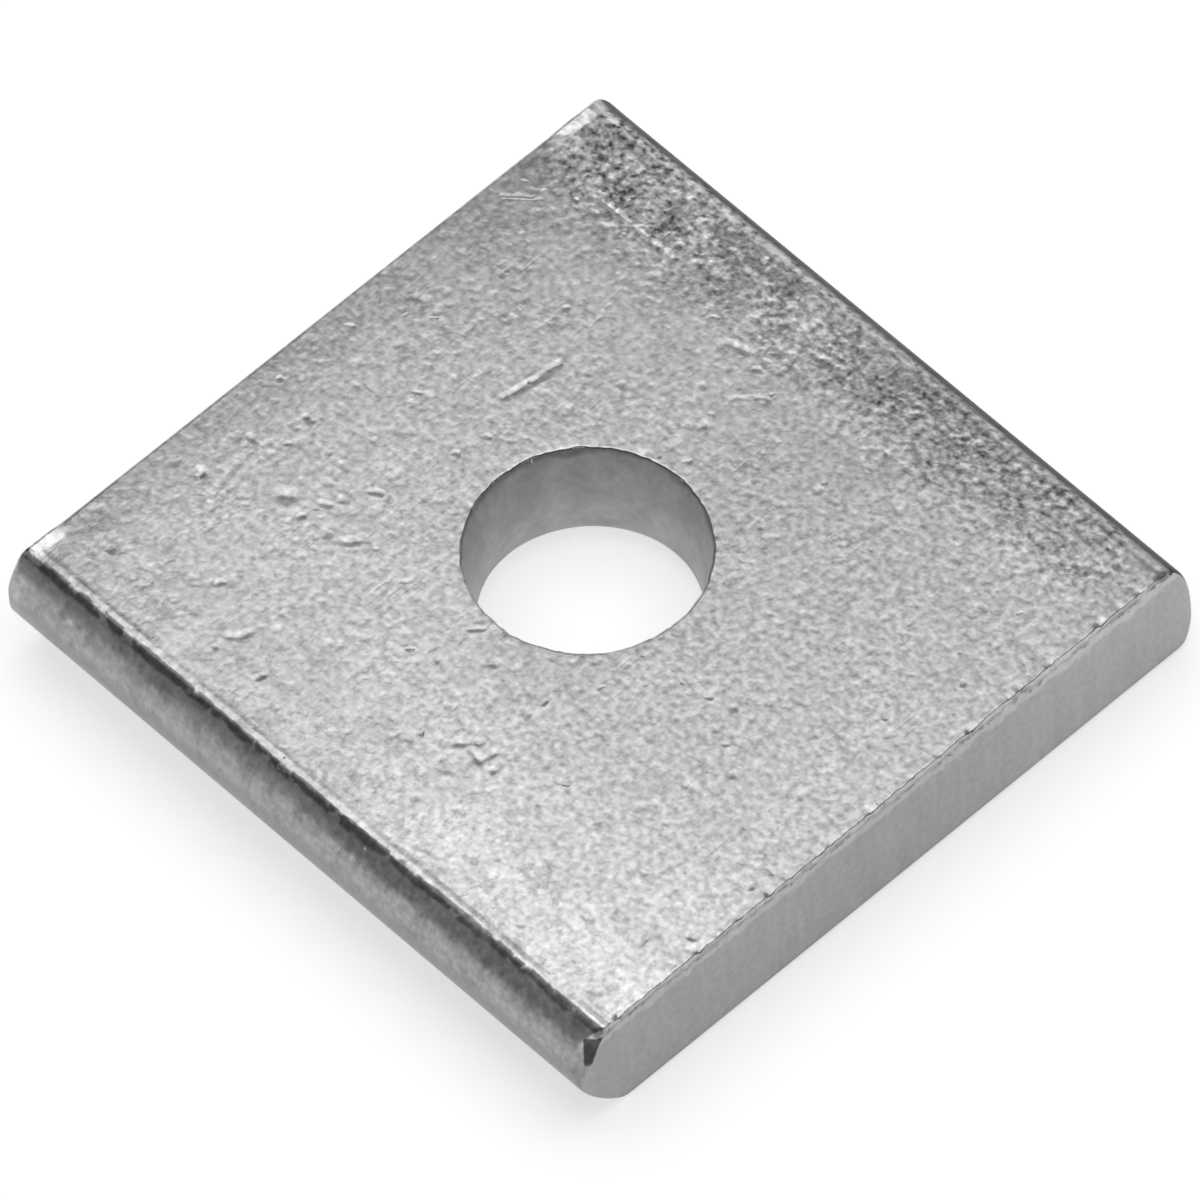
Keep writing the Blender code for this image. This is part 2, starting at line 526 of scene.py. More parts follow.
# %% The top sinks towards its far edge and its drawn edge, and waves a little
FAR_SLOPE = 0.022
FAR_SLOPE_START = 12.0 * MM
FAR_SLOPE_RUN = 3.0 * MM
DRAWN_DROP = 0.045 * MM
DRAWN_REACH = 3.2 * MM
WAVE_HEIGHT = 0.004 * MM
EDGE_WAVE_HEIGHT = 0.010 * MM
TOP_FADE = 4.6 * MM  # a move of the top has died away at this height

top_share = fade(z, TOP_FADE, THICKNESS)
past = np.clip(y - FAR_SLOPE_START, 0, None)
run_in = np.minimum(past, FAR_SLOPE_RUN)
far_drop = FAR_SLOPE * (run_in ** 2 / (2 * FAR_SLOPE_RUN) + np.clip(past - FAR_SLOPE_RUN, 0, None))
drawn_drop = DRAWN_DROP * np.clip(1 - (x - left) / DRAWN_REACH, 0, 1.2) ** 2
level = np.column_stack((x, y, 0 * z))
near_an_edge = np.maximum(fade(y, 11 * MM, 15 * MM), fade(-y, 12 * MM, 15 * MM))
height_of_waves = WAVE_HEIGHT + (EDGE_WAVE_HEIGHT - WAVE_HEIGHT) * near_an_edge
long_waves = height_of_waves * (waves(level, 0.28, 3) + 0.5 * waves(level, 0.7, 5))
points[:, 2] += top_share * (long_waves - far_drop - drawn_drop)
print("the far edge sinks by", round(far_drop.max() / MM, 3), "mm")

# %% The near edge: a bead with a groove behind it, and a line that wanders
BEAD_HEIGHT = 0.020 * MM
BEAD_PLACE = 0.30 * MM
BEAD_WIDTH = 0.12 * MM
BEAD_LOSS = 0.6
NEAR_WANDER = 0.045 * MM
NEAR_SKEW = 0.0105
NEAR_SKEW_START = -4 * MM
NEAR_FADE = 0.5 * MM

from_near = y - near
along = np.column_stack((x, 0 * y, 0 * z))
bead = np.exp(-(((from_near - BEAD_PLACE) / BEAD_WIDTH) ** 2)) * (1 + 0.45 * waves(along, 0.9, 11))
bead *= 1 - BEAD_LOSS * fade(x, -3 * MM, 3 * MM)
points[on_top, 2] += BEAD_HEIGHT * bead[on_top]
near_share = np.exp(-((from_near / NEAR_FADE) ** 2)) * fade(z, 4.9 * MM, 6.3 * MM)
wander = NEAR_WANDER * (waves(along, 0.5, 17) + 0.6 * waves(along, 1.8, 19))
wander += NEAR_SKEW * np.clip(x, NEAR_SKEW_START, None)
points[:, 1] += near_share * wander

# %% The torn lip along the right cut
LIP_WANDER = 0.06 * MM
LIP_REACH = 0.09 * MM
LIP_DROP = 0.40 * MM
LIP_WEAR = 0.20 * MM
LIP_FADE = 0.35 * MM

from_right = right - x
across = np.column_stack((0 * x, y, 0 * z))
lip_share = np.exp(-((np.clip(from_right, 0, None) / LIP_FADE) ** 2)) * fade(z, 5.3 * MM, 6.45 * MM)
torn = 0.8 * waves(across, 0.8, 23) + 0.9 * waves(across, 2.3, 29)
points[:, 0] += lip_share * (LIP_WANDER * torn + LIP_REACH * fade(-y, -10 * MM, 4 * MM))
nicks = np.clip(waves(across, 1.6, 31) - 0.08, 0, None)
worn = np.exp(-((np.clip(from_right, 0, None) / LIP_WEAR) ** 2)) * fade(z, 5.9 * MM, 6.45 * MM)
points[:, 2] -= LIP_DROP * worn * nicks
widest = float(np.abs(LIP_WANDER * lip_share * torn).max())
print("the lip wanders by up to", round(widest / MM, 3), "mm")

# %% The smooth facets that the shear's blade left at both ends of the drawn edge
FACET_RISE = 0.110 * MM
FACET_REACH = 0.60 * MM

from_left = x - left
blade = np.clip(1 - from_left / FACET_REACH, 0, 1.2)
at_ends = np.maximum(fade(y, 14.6 * MM, 15.8 * MM), fade(-y, 15.3 * MM, 16.5 * MM))
points[:, 2] += FACET_RISE * blade * at_ends * top_share

# %% The chipped corner, right and near
CHIP_TOP_NEAR = Vector((18.05, -18.18, 6.10)) * MM
CHIP_TOP_RIGHT = Vector((18.50, -17.62, 6.20)) * MM
CHIP_TIP = Vector((18.55, -18.38, 4.63)) * MM

chip_facing = (CHIP_TIP - CHIP_TOP_NEAR).cross(CHIP_TOP_RIGHT - CHIP_TOP_NEAR).normalized()
chip_level = chip_facing.dot(CHIP_TIP)
past_chip = np.clip(points @ np.array(chip_facing) - chip_level, 0, None)
points -= past_chip[:, None] * np.array(chip_facing)
print("the chip moved", int((past_chip > 0).sum()), "points")

# %% [markdown]
# ## Dents, pits and the gouge
#
# Each mark is a line on the top, or a dot where both its ends are the same. It is pressed in most
# along its middle, and the steel that it pushed aside stands up a little round it. The camera
# looks from the right and near, so a mark's left and far wall shines and its other wall is dark.

# %% Marks pressed into the top
DENTS = {
    "gouge, upper part": ((-9.02, 6.2), (-9.18, 4.6), 0.17, 0.052),
    "gouge, lower part": ((-9.18, 4.6), (-9.48, 3.1), 0.17, 0.048),
    "long line near the far edge": ((-15.7, 13.62), (-14.1, 13.84), 0.17, 0.020),
    "long line, its straight part": ((-14.1, 13.84), (-9.6, 13.90), 0.18, 0.030),
    "bar over the long line": ((-14.6, 13.14), (-13.7, 13.20), 0.20, 0.026),
    "dash behind the hole": ((-4.6, 12.35), (-3.6, 12.65), 0.24, 0.034),
    "dash at the far edge": ((-1.5, 14.72), (-0.3, 14.85), 0.20, 0.030),
    "crescent, left arm": ((2.75, -11.45), (3.5, -10.7), 0.22, 0.034),
    "crescent, right arm": ((3.5, -11.25), (4.2, -11.40), 0.24, 0.044),
    "crescent, upper arm": ((4.2, -11.3), (4.35, -10.5), 0.20, 0.026),
    "ring pit, left": ((2.85, -12.6), (3.0, -12.9), 0.20, 0.026),
    "ring pit, right": ((3.1, -13.0), (3.6, -12.75), 0.20, 0.028),
    "dash right of the hole": ((9.05, -2.55), (9.75, -2.6), 0.20, 0.019),
    "pit in the right half": ((11.3, -4.4), (11.5, -4.35), 0.26, 0.026),
    "hook in the right half": ((11.6, -5.85), (12.15, -5.5), 0.18, 0.022),
    "short bar near the lip": ((16.8, -4.68), (17.35, -4.7), 0.20, 0.022),
    "pit near the lip": ((15.6, -2.4), (15.6, -2.6), 0.22, 0.022),
    "second pit near the lip": ((16.75, -3.3), (16.78, -3.6), 0.20, 0.022),
    "pit over the lip's middle": ((15.1, -5.6), (15.35, -5.5), 0.22, 0.017),
    "top pit in the right half": ((14.4, -0.3), (14.6, -0.35), 0.22, 0.019),
    "pair of pits, upper": ((10.0, -9.8), (10.45, -10.05), 0.22, 0.030),
    "pair of pits, lower": ((10.15, -10.3), (10.2, -10.5), 0.18, 0.022),
    "comma": ((10.2, -12.95), (10.7, -13.1), 0.20, 0.032),
    "pit under the comma": ((11.0, -13.8), (11.1, -14.0), 0.22, 0.032),
    "round shallow pit": ((13.6, -13.7), (13.75, -13.75), 0.36, 0.036),
    "slanted pit": ((11.75, -16.25), (11.95, -16.1), 0.20, 0.044),
    "pit at the near edge": ((7.85, -15.2), (8.0, -15.35), 0.22, 0.034),
    "second pit at the near edge": ((9.2, -15.2), (9.25, -15.4), 0.24, 0.026),
    "third pit at the near edge": ((9.95, -15.5), (10.0, -15.55), 0.22, 0.026),
    "pit left of the dark scratch": ((3.5, -14.75), (3.6, -14.85), 0.24, 0.028),
    "pit under the hole": ((3.6, -8.15), (3.9, -8.15), 0.22, 0.036),
    "dash under the hole": ((-1.35, -6.7), (-0.9, -6.3), 0.16, 0.026),
    "second dash under the hole": ((0.5, -7.6), (0.9, -7.2), 0.20, 0.026),
    "soft pit under the hole": ((1.0, -10.25), (1.2, -10.2), 0.26, 0.024),
    "pair near the ring pit": ((0.45, -13.2), (0.5, -12.9), 0.20, 0.024),
    "right one of the pair": ((1.0, -12.85), (1.15, -12.8), 0.22, 0.030),
    "pit on the left": ((-11.75, -5.7), (-11.65, -5.75), 0.22, 0.034),
    "dash over the pits": ((-12.0, -4.55), (-11.6, -4.6), 0.20, 0.034),
    "second dash over the pits": ((-9.9, -4.65), (-9.6, -4.45), 0.20, 0.034),
    "bright pit on the left": ((-11.0, -6.65), (-10.75, -6.5), 0.22, 0.034),
    "broad soft dent": ((-12.6, -7.6), (-12.3, -7.4), 0.46, 0.040),
    "curl at the near edge, upper": ((-8.15, -13.8), (-8.3, -14.35), 0.20, 0.032),
    "curl at the near edge, lower": ((-8.3, -14.35), (-8.75, -14.7), 0.20, 0.028),
    "curl's tail": ((-8.6, -15.2), (-8.4, -15.4), 0.18, 0.022),
    "second pit on the left": ((-10.5, -5.8), (-10.4, -5.85), 0.20, 0.036),
    "third pit on the left": ((-8.65, -7.3), (-8.5, -7.1), 0.26, 0.036),
    "pit at the left corner": ((-16.15, -9.3), (-16.0, -9.4), 0.24, 0.044),
    "spot over the gouge": ((-6.9, 4.9), (-6.85, 4.85), 0.22, 0.017),
    "mark right of the hole": ((7.7, 8.3), (7.7, 7.5), 0.18, 0.014),
    "mark at the far edge": ((8.4, 12.4), (8.45, 12.9), 0.18, 0.017),
    "short mark": ((2.15, 13.1), (2.45, 12.2), 0.20, 0.026),
    "spot at the right corner": ((16.2, 15.4), (16.5, 15.6), 0.28, 0.036),
    "pit at the right corner": ((15.55, 15.15), (15.8, 14.9), 0.22, 0.036),
    "pit behind the hole": ((7.9, 15.1), (8.0, 14.9), 0.22, 0.036),
    "scratch at the left edge": ((-18.4, 4.6), (-17.5, 5.4), 0.16, 0.010),
    "scratch left of the hole": ((-13.3, -3.1), (-11.8, -2.6), 0.16, 0.010),
    "curve on the left, upper": ((-15.4, -7.0), (-15.1, -8.6), 0.16, 0.014),
    "curve on the left, lower": ((-15.1, -8.6), (-14.8, -10.0), 0.16, 0.014),
    "dark scratch": ((5.6, -15.1), (6.2, -16.4), 0.16, 0.024),
    "line right of the hole": ((4.4, 6.2), (4.5, 4.4), 0.16, 0.010),
    "line in the right quarter": ((7.2, 9.6), (7.25, 8.8), 0.16, 0.012),
    "line in the right corner": ((13.8, 5.6), (13.85, 4.8), 0.16, 0.012),
    "upright line": ((-4.66, 14.4), (-4.66, 13.1), 0.16, 0.012),
    "upright line at the far edge": ((-3.9, 17.0), (-3.8, 15.6), 0.17, 0.014),
}
PUSHED_ASIDE = 0.15


def distance_to_line(start, end):
    """How far each point of the mesh lies from a line on the top."""
    start = np.array(start) * MM
    run = np.array(end) * MM - start
    offset = np.column_stack((x, y)) - start
    share = np.clip(offset @ run / max(run @ run, MM ** 4), 0, 1)
    return np.hypot(*(offset - share[:, None] * run).T)


def press(start, end, half_width, depth):
    """Lowers the top along a line, and raises it in a rim on both sides."""
    distance = distance_to_line(start, end) / (half_width * MM)
    hollow = np.clip(1 - distance ** 2, 0, 1) ** 2
    rim = PUSHED_ASIDE * np.clip(1 - (2.5 * (distance - 1.3)) ** 2, 0, 1)
    points[on_top, 2] -= (depth * MM * (hollow - rim))[on_top]


for mark in DENTS.values():
    press(*mark)
print(len(DENTS), "marks are pressed into the top")

# %% The ragged rim and the torn upper wall of the hole
RIM_RAGGED = 0.050 * MM
RIM_DROP = 0.030 * MM
RIM_FADE = 0.22 * MM
WALL_ROUGH = 0.035 * MM

in_hole = hole_distance < TOP_RADIUS + CLOSE
rim_share = np.exp(-(((hole_distance - TOP_RADIUS) / RIM_FADE) ** 2)) * fade(z, 5.2 * MM, THICKNESS)
outward = np.column_stack(((x - HOLE_X) / hole_distance, y / hole_distance))
on_circle = np.column_stack((5 * MM * outward, 0.25 * z))
ragged = waves(on_circle, 1.1, 37) + 0.7 * waves(on_circle, 2.7, 39) + 0.4 * waves(on_circle, 6.0, 41)
wall_share = in_hole * fade(z, 2.6 * MM, 3.6 * MM)
shift = RIM_RAGGED * rim_share * ragged + WALL_ROUGH * wall_share * waves(on_circle, 2.2, 43)
points[:, :2] += outward * shift[:, None]
points[:, 2] -= RIM_DROP * rim_share * np.clip(waves(on_circle, 1.9, 47), 0, None)

washer.data.vertices.foreach_set("co", points.ravel())
washer.data.update()
print("the rim wanders by up to", round(float(np.abs(shift).max()) / MM, 3), "mm")

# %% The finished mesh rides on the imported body
washer.data.shade_smooth()
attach(washer, "root")
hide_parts("square_plate_washer")

# %% [markdown]
# ## Effects that the finishes share
#
# Zinc lies over everything, so its skin is the same on the top, the cut faces and the hole's wall,
# only deeper here and flatter there. That is what a node group is for: it is built once, it has
# named inputs, and each finish places it with its own numbers. A height is in millimetres, and a
# tone is a share of the metal's plain colour.

# %% Begin a node group
def begin_group(name, inputs, outputs):
    group = bpy.data.node_groups.new(name, "ShaderNodeTree")
    for label, value in inputs.items():
        kind = "NodeSocketVector" if value is None else "NodeSocketFloat"
        socket = group.interface.new_socket(name=label, in_out="INPUT", socket_type=kind)
        if value is not None:
            socket.default_value = value
    for label in outputs:
        group.interface.new_socket(name=label, in_out="OUTPUT", socket_type="NodeSocketFloat")
    given = group.nodes.new("NodeGroupInput").outputs
    asked = group.nodes.new("NodeGroupOutput").inputs
    return group, given, asked


def use_group(tree, group, inputs):
    made = tree.nodes.new("ShaderNodeGroup")
    made.node_tree = group
    for label, value in inputs.items():
        feed(tree, value, made.inputs[label])
    return made.outputs


# %% The skin: flecks, grit and an uneven tone
skin, given, asked = begin_group(
    "zinc skin",
    {
        "Place": None, "Fleck Depth": 0.010, "Grit Depth": 0.002, "Peel Depth": 0.004,
        "Speckle Range": 1.0, "Patch Range": 0.10,
    },
    ("Height", "Tone", "Dullness", "Crease"),
)
bumps = grain(skin, given["Place"], 1.6, detail=1.0, harshness=0.6)
creases = calculate(skin, "ABSOLUTE", total(skin, product(skin, bumps, 2.0), -1.0))
flecks = calculate(skin, "SUBTRACT", bumps, product(skin, creases, 0.35))
grit = grain(skin, given["Place"], 6.0, detail=0.0)
peel = grain(skin, given["Place"], 0.55, detail=0.0)
patches = grain(skin, given["Place"], 0.35, detail=3.0, harshness=0.6)
skin.links.new(total(
    skin,
    product(skin, flecks, given["Fleck Depth"]),
    product(skin, grit, given["Grit Depth"]),
    product(skin, peel, given["Peel Depth"]),
), asked["Height"])
speckle = grain(skin, given["Place"], 2.8, detail=1.0, harshness=0.6)
specks = grain(skin, given["Place"], 1.7, detail=2.0, harshness=0.6)
mixed = total(
    skin, speckle, -0.5,
    blend(skin, specks, 0.64, 0.74, 0.0, -0.16),
    blend(skin, specks, 0.35, 0.26, 0.0, 0.12),
)
tone = total(
    skin, 1.0,
    product(skin, mixed, given["Speckle Range"]),
    product(skin, total(skin, patches, -0.5), given["Patch Range"]),
)
skin.links.new(calculate(skin, "MAXIMUM", tone, 0.2), asked["Tone"])
skin.links.new(product(skin, total(skin, patches, -0.5), 0.25), asked["Dullness"])
skin.links.new(blend(skin, creases, 0.16, 0.04), asked["Crease"])
print("zinc skin has", len(skin.nodes), "nodes")

# %% Pits: round hollows at random places
pits, given, asked = begin_group(
    "pits", {"Place": None, "Per Millimetre": 0.8, "Share": 0.2, "Size": 0.16, "Depth": 0.010},
    ("Height", "Mask"),
)
cells = add_node(pits, "ShaderNodeTexVoronoi", {
    "Vector": given["Place"], "Scale": given["Per Millimetre"],
})
chance = add_node(pits, "ShaderNodeSeparateColor", {"Color": cells.outputs["Color"]})
chosen = calculate(pits, "LESS_THAN", chance.outputs["Red"], given["Share"])
reach = product(pits, given["Size"], total(pits, chance.outputs["Green"], 0.5))
hollow = blend(pits, cells.outputs["Distance"], 0.0, reach, 1.0, 0.0)
pits.links.new(product(pits, hollow, chosen, given["Depth"], -1.0), asked["Height"])
pits.links.new(product(pits, hollow, chosen), asked["Mask"])
print("pits has", len(pits.nodes), "nodes")

# %% Scratches: fine lines drawn out along one direction
scratches, given, asked = begin_group(
    "scratches", {"Place": None, "Turn": 0.0, "Depth": 0.004, "Share": 0.35}, ("Height",),
)
turned_place = add_node(scratches, "ShaderNodeVectorRotate", {
    "Vector": given["Place"], "Angle": given["Turn"],
}, rotation_type="Z_AXIS").outputs["Vector"]
lines = grain(scratches, stretched(scratches, turned_place, (0.35, 6.5, 1.0)), 1.0, detail=1.0)
where = grain(scratches, turned_place, 0.45, detail=1.0)
shown = blend(scratches, where, calculate(scratches, "SUBTRACT", 0.78, given["Share"]), 0.80)
cuts = blend(scratches, lines, 0.56, 0.70, 0.0, -1.0)
scratches.links.new(product(scratches, cuts, shown, given["Depth"]), asked["Height"])

# %% Single marks at their own places
single, given, asked = begin_group(
    "single mark",
    {"Place": None, "Start": None, "Run": None, "Pull": None, "Half Width": 0.08, "Strength": 1.0},
    ("Mask",),
)


def vector_step(tree, operation, first, second):
    made = tree.nodes.new("ShaderNodeVectorMath")
    made.operation = operation
    feed(tree, first, made.inputs[0])
    feed(tree, second, made.inputs[1])
    gives_number = operation in ("DOT_PRODUCT", "DISTANCE")
    return made.outputs["Value" if gives_number else "Vector"]


offset = vector_step(single, "SUBTRACT", given["Place"], given["Start"])
along_run = vector_step(single, "DOT_PRODUCT", offset, given["Pull"])
share = calculate(single, "ADD", along_run, 0.0, clamp=True)  # the line ends at its two points
reached = add_node(single, "ShaderNodeVectorMath", {"Scale": share}, operation="SCALE")
single.links.new(given["Run"], reached.inputs[0])
apart = vector_step(single, "DISTANCE", offset, reached.outputs["Vector"])
shade = blend(single, apart, 0.0, given["Half Width"], given["Strength"], 0.0)
single.links.new(shade, asked["Mask"])


def shaded_marks(tree, place, marks):
    """The sum of single marks, each a start, an end, a half width and a strength."""
    result = 0.0
    for start, end, half_width, strength in marks:
        run = Vector((end[0] - start[0], end[1] - start[1], 0))
        mark = use_group(tree, single, {
            "Place": place, "Start": (*start, 0), "Run": run, "Pull": run / run.length_squared,
            "Half Width": half_width, "Strength": strength,
        })
        result = calculate(tree, "ADD", mark["Mask"], result)
    return result


print("single mark has", len(single.nodes), "nodes")

# %% [markdown]
# ## The finish on the rolled faces
#
# The top, the underside and the two round edges are the bar's own skin under zinc. On top of the
# shared skin come pits, faint hatching, painted shade in the pits and the deepest dents, and a few
# fine scratches. The places of pits and marks sway a little, so that none is a perfect circle or
# line. The rolled skin is rougher near its far edge. The round edges are painted darker as painted
# shade, and the far one is also rougher. A broken line of painted shade follows the crease at the
# near edge, the small facets at the ends of the drawn edge get a painted highlight, and the top's
# broad paler and darker parts are painted light and shade. Where each of these lies is a rule of place.

# %% Fine scratches on the top, in millimetres
ZINC = (0.62, 0.62, 0.62, 1)
FINE_SCRATCHES = {
    "upper corner, first": ((-17.7, 10.9), (-16.7, 11.9), 0.14),
    "upper corner, second": ((-17.4, 10.9), (-16.2, 12.0), 0.14),
    "behind the hole": ((-2.3, 10.2), (-0.8, 11.8), 0.18),
    "by the lip": ((16.4, -6.9), (17.8, -6.4), 0.16),
    "line near the far edge": ((-14.1, 13.84), (-9.6, 13.90), 0.15),
    "gouge, upper part": ((-9.02, 6.2), (-9.18, 4.6), 0.15),
    "gouge, lower part": ((-9.18, 4.6), (-9.48, 3.1), 0.15),
}


def bright_zinc(name, roughness):
    """A metal material, whose tone and bump are fed afterwards."""
    material = bpy.data.materials.new(name)
    material.use_nodes = True
    metal = material.node_tree.nodes["Principled BSDF"]
    metal.inputs["Base Color"].default_value = ZINC
    metal.inputs["Metallic"].default_value = 1
    metal.inputs["Roughness"].default_value = roughness
    return material, material.node_tree, metal


def coat(tree, metal, tone, roughness, height):
    """Feeds the metal: zinc's colour times a tone, its roughness, and a height in millimetres."""
    tinted = add_node(tree, "ShaderNodeMix", {"Factor": 1.0}, data_type="RGBA", blend_type="MULTIPLY")
    sockets = [socket for socket in tinted.inputs if socket.type == "RGBA"]
    sockets[0].default_value = ZINC
    tree.links.new(tone, sockets[1])
    result = [socket for socket in tinted.outputs if socket.type == "RGBA"][0]
    tree.links.new(result, metal.inputs["Base Color"])
    feed(tree, roughness, metal.inputs["Roughness"])
    bump = add_node(tree, "ShaderNodeBump", {"Strength": 1.0, "Distance": MM, "Height": height})
    tree.links.new(bump.outputs["Normal"], metal.inputs["Normal"])


# %% The chipped corner's flat cut is darker
CHIP_LEFT_END = -0.15
CHIP_CUT_TONE = 0.16


def chip_tone(tree, place):
    """1 away from the chip's flat cut, and dark on it."""
    out = vector_step(tree, "DOT_PRODUCT", place, tuple(chip_facing))
    along = vector_step(tree, "DOT_PRODUCT", place, (1, 1, 0))
    height = vector_step(tree, "DOT_PRODUCT", place, (0, 0, 1))
    rough = product(tree, total(tree, grain(tree, place, 3.0), -0.5), 0.12)
    chip_cut = product(
        tree,
        blend(tree, total(tree, out, rough, -chip_level / MM), -0.17, -0.09),
        blend(tree, along, CHIP_LEFT_END - 0.2, CHIP_LEFT_END),
        blend(tree, height, CHIP_TIP.z / MM - 0.3, CHIP_TIP.z / MM + 0.1),
        blend(tree, total(tree, height, rough), 6.05, 5.85),
    )
    return toned(tree, chip_cut, CHIP_CUT_TONE)


# %% Rolled zinc
SWAY = 0.45
SWAY_PER_MM = 1.6
MARK_SHADE = 12.0  # how fast a dent's shade grows with its depth
SHARP_DEPTH = 0.031  # a dent deeper than this, in millimetres, is shaded
ROLLED_ROUGHNESS = 0.30
SCRATCH_DEPTH = 0.007

rolled, tree, metal = bright_zinc("rolled_zinc", ROLLED_ROUGHNESS)
place, place_x, place_y, place_z = in_millimetres(tree)
sway = add_node(tree, "ShaderNodeTexNoise", {"Vector": place, "Scale": SWAY_PER_MM, "Detail": 0.0})
sway_out = vector_step(tree, "SUBTRACT", sway.outputs["Color"], (0.5, 0.5, 0.5))
sway_out = vector_step(tree, "MULTIPLY", sway_out, (SWAY, SWAY, SWAY))
wobbled = vector_step(tree, "ADD", place, sway_out)
flat_place = vector_step(tree, "MULTIPLY", wobbled, (1, 1, 0))
far_band = product(tree, blend(tree, place_y, 11.5, 15.5), blend(tree, place_x, 15.3, 17.2, 1.0, 0.15))
upper_corner = product(tree, blend(tree, place_x, -7.0, -13.0), far_band)
near_band = blend(tree, place_y, -10.0, -15.0)
on_top_face = blend(tree, place_z, 5.9, 6.3, 0.35, 1.0)
coarse = product(
    tree, on_top_face,
    total(tree, 1.0, product(tree, far_band, 0.9), product(tree, upper_corner, 0.3)),
)
skin_out = use_group(tree, skin, {
    "Place": place,
    "Fleck Depth": product(tree, coarse, 0.020),
    "Grit Depth": product(tree, coarse, 0.003),
    "Peel Depth": total(tree, 0.006, product(tree, far_band, 0.020), product(tree, near_band, 0.025)),
    "Speckle Range": product(
        tree, blend(tree, place_z, 3.0, 6.2, 0.3, 1.0),
        total(
            tree, blend(tree, place_x, -4.0, 4.0, 1.15, 1.35), product(tree, far_band, 1.2),
            product(tree, upper_corner, 1.2), product(tree, near_band, -0.35),
            product(tree, upper_corner, blend(tree, place_x, -17.75, -17.95, 0.0, -2.4)),
        ),
    ),
    "Patch Range": total(tree, 0.15, product(tree, far_band, 0.9), product(tree, upper_corner, 0.4)),
})
pit_out = use_group(tree, pits, {
    "Place": wobbled, "Per Millimetre": 0.80, "Share": 0.34, "Size": 0.20, "Depth": 0.030,
})
near_spots = use_group(tree, pits, {
    "Place": wobbled, "Per Millimetre": 0.55, "Share": 0.45, "Size": 0.26,
})
hatch = use_group(tree, scratches, {
    "Place": place, "Turn": math.radians(88), "Depth": 0.004, "Share": 0.25,
})
sharp_marks = [
    (start, end, half_width, MARK_SHADE * depth)
    for start, end, half_width, depth in DENTS.values() if depth > SHARP_DEPTH
]
marks_mask = shaded_marks(tree, flat_place, sharp_marks)
scratch_mask = shaded_marks(tree, flat_place, [(*scratch, 1.0) for scratch in FINE_SCRATCHES.values()])
top_only = blend(tree, place_z, 6.2, 6.4)
print("the rolled skin has", len(sharp_marks), "shaded marks and", len(FINE_SCRATCHES), "fine scratches")

# %% Painted shade on the rolled edges, the near crease and the groove, and a painted highlight
wander = total(tree, grain(tree, place, 0.8, detail=3.0, harshness=0.6), -0.5)
edge_y = total(
    tree, place_y, product(tree, wander, 0.35),
    blend(tree, place_x, -2.0, 12.0, 0.04, -0.12),
    blend(tree, place_x, -12.0, -6.0, -0.02, 0.0),
)
near_side = blend(tree, edge_y, -17.55, -17.75)
runs = grain(tree, stretched(tree, place, (1.0, 0.2, 0.35)), 1.7, detail=3.0, harshness=0.65)
ragged_z = total(tree, place_z, product(tree, total(tree, runs, -0.5), 0.9))
near_low = product(tree, near_side, blend(tree, ragged_z, 5.90, 5.15))
near_bottom = product(tree, near_side, blend(tree, ragged_z, 5.0, 3.9))
near_runs = product(tree, near_side, blend(tree, runs, 0.50, 0.36), blend(tree, place_z, 3.4, 4.6))
# A broken line of painted shade along the crease at the near edge
crease_shade_line = product(
    tree,
    blend(tree, edge_y, -17.56, -17.66),
    blend(tree, edge_y, -18.14, -17.90),
    blend(tree, grain(tree, place, 1.3, detail=2.0), 0.32, 0.48),
)
facet = product(
    tree,
    blend(tree, place_x, -17.80, -17.95),
    total(tree, blend(tree, place_y, 14.6, 15.4), blend(tree, place_y, -15.6, -16.2)),
)
far_face = blend(tree, place_y, 17.3, 17.8)
far_side = product(tree, blend(tree, place_z, 6.45, 5.9), blend(tree, place_z, 4.0, 5.2), far_face)
far_low = product(tree, blend(tree, place_z, 5.4, 4.2), far_face)
far_zone = product(
    tree,
    blend(tree, total(tree, place_y, product(tree, wander, 5.0)), 13.7, 14.9),
    blend(tree, place_y, 17.2, 16.7, 0.35, 1.0),
    blend(tree, place_x, -8.0, 2.0, 1.0, 0.55),
    blend(tree, place_x, 15.3, 16.6, 1.0, 0.0),
)
mottle = grain(tree, place, 0.75, detail=4.0, harshness=0.75)
far_mottle = product(tree, far_zone, blend(tree, mottle, 0.47, 0.60))
groove_y = total(tree, place_y, product(tree, wander, 0.2))
groove = product(
    tree,
    blend(tree, groove_y, -17.42, -17.30),
    blend(tree, groove_y, -17.05, -17.15),
    blend(tree, grain(tree, place, 0.22, detail=2.0), 0.34, 0.46),
)
# Painted shade: the near round edge, its dark band and its lower part, the far round edge and its foot,
# the broken line along the near crease and the groove behind the bead are darkened. The facets at the
# ends of the drawn edge get a painted highlight. The runs and the far mottle are the skin's own uneven
# tone.
edge_tone = tones(
    tree,
    (near_side, 0.86), (near_low, 0.66), (near_bottom, 0.75), (near_runs, 0.88), (crease_shade_line, 0.36),
    (far_side, 0.10), (far_low, 0.62),
    (calculate(tree, "SUBTRACT", far_mottle, facet, clamp=True), 0.66), (facet, 1.22),
    (groove, blend(tree, place_x, -2.0, 12.0, 0.88, 0.62)),
)

